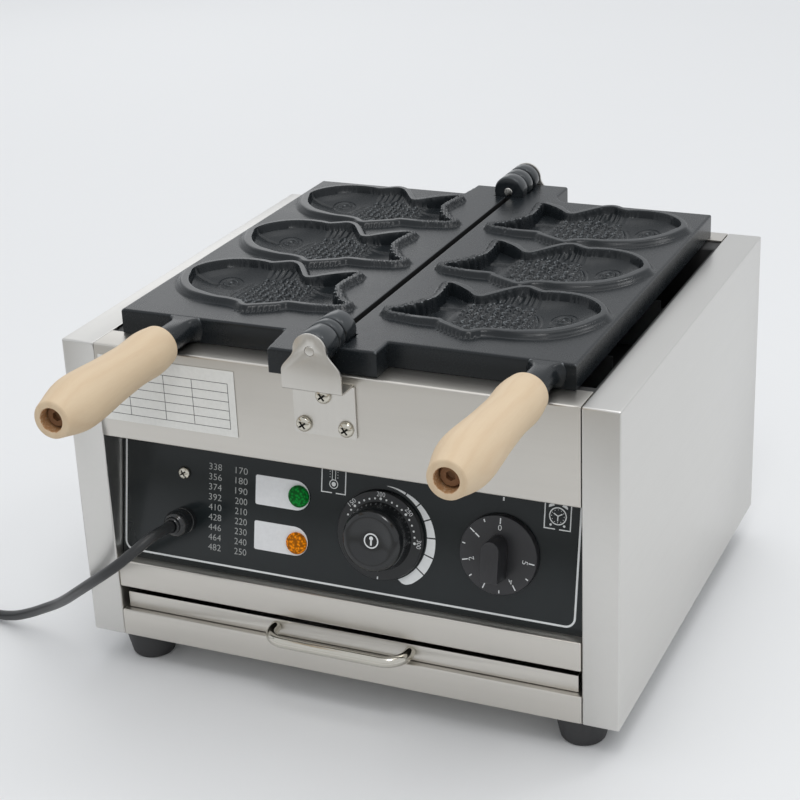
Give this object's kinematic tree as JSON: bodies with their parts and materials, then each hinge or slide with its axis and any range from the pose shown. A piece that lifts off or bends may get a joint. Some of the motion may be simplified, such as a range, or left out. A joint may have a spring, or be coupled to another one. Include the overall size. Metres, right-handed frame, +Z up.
{
  "type": "taiyaki maker",
  "caption": "Countertop taiyaki maker: steel cabinet with two hinged fish mould plates, wooden grips, leaning control panel with dials, drip tray and mains cord.",
  "frame": {"origin": "on the surface that the feet stand on, below the middle of the object's box without its cord", "axes": "+X to the operator's right, +Y to the back along the hinge line, +Z up"},
  "size_m": [0.716, 0.5562, 0.304],
  "materials": {
    "stainless": "satin stainless sheet, warm light grey",
    "inner_steel": "plain galvanised sheet",
    "label": "white printed film with ruled rows",
    "ivory_plastic": "moulded ivory plastic",
    "rubber": "matte black rubber",
    "heating_element": "heat-darkened tube",
    "chrome": "bright plated steel",
    "coated_casting": "dark semi-matte non-stick coating on a casting",
    "wood": "turned pale wood, plain",
    "black_panel": "glossy near-black",
    "black_plastic": "black moulded plastic, slightly glossy",
    "green_lens": "faceted green lens",
    "orange_lens": "faceted orange lens"
  },
  "bodies": {
    "cabinet": {"left_side_panel": "stainless", "right_side_panel": "stainless", "front_panel": "stainless", "rear_panel": "stainless", "lower_front_rail": "stainless", "bottom_front_rail": "stainless", "base_pan": "inner_steel", "tray_runner_left": "inner_steel", "tray_runner_right": "inner_steel", "heat_well": "inner_steel", "rating_label": "label", "terminal_block": "ivory_plastic", "foot_front_left": "rubber", "foot_front_right": "rubber", "foot_rear_left": "rubber", "foot_rear_right": "rubber", "left_heater": "heating_element", "right_heater": "heating_element", "heater_support_front": "inner_steel", "heater_support_rear": "inner_steel", "thermostat_bulb": "chrome", "front_pivot_bracket": "stainless", "rear_pivot_bracket": "stainless", "front_bracket_screw_high": "chrome", "front_bracket_screw_left": "chrome", "front_bracket_screw_right": "chrome", "rear_bracket_screw_high": "chrome", "rear_bracket_screw_left": "chrome", "rear_bracket_screw_right": "chrome", "front_hinge_pin": "chrome", "rear_hinge_pin": "chrome", "control_panel": "black_panel", "control_panel_screw": "chrome", "cord_gland": "black_plastic", "gland_nut": "black_plastic", "power_lamp": "green_lens", "heat_lamp": "orange_lens", "thermostat_body": "ivory_plastic", "timer_body": "ivory_plastic", "power_cord": "rubber", "cord_coil": "rubber", "cord_tie": "black_plastic", "cord_tail": "rubber", "mains_plug": "rubber"},
    "left_mould": {"left_mould_plate": "coated_casting", "left_grip": "wood", "left_handle_bolt": "chrome"},
    "right_mould": {"right_mould_plate": "coated_casting", "right_grip": "wood", "right_handle_bolt": "chrome"},
    "tray": {"drip_tray": "stainless", "tray_handle": "chrome", "tray_handle_screw_left": "chrome", "tray_handle_screw_right": "chrome"},
    "temperature_dial": {"temperature_knob": "black_plastic", "temperature_shaft": "chrome"},
    "timer_dial": {"timer_knob": "black_plastic", "timer_shaft": "chrome"}
  },
  "joints": [
    {"name": "left_mould_hinge", "type": "hinge", "parent": "cabinet", "child": "left_mould", "pos_m": [0, 0, 0.2912], "axis": [0, 1, 0], "range_deg": [0, 180]},
    {"name": "right_mould_hinge", "type": "hinge", "parent": "cabinet", "child": "right_mould", "pos_m": [0, 0, 0.2912], "axis": [0, -1, 0], "range_deg": [0, 180]},
    {"name": "drip_tray_slide", "type": "slide", "parent": "cabinet", "child": "tray", "axis": [0, -1, 0], "range_m": [0, 0.28]},
    {"name": "temperature_knob_turn", "type": "hinge", "parent": "cabinet", "child": "temperature_dial", "pos_m": [0.0295, -0.1099, 0.14008], "axis": [0, -0.9816, 0.1908], "range_deg": [-163, 93]},
    {"name": "timer_knob_turn", "type": "hinge", "parent": "cabinet", "child": "timer_dial", "pos_m": [0.1204, -0.10976, 0.14077], "axis": [0, -0.9816, 0.1908], "range_deg": [-270, 0]}
  ]
}
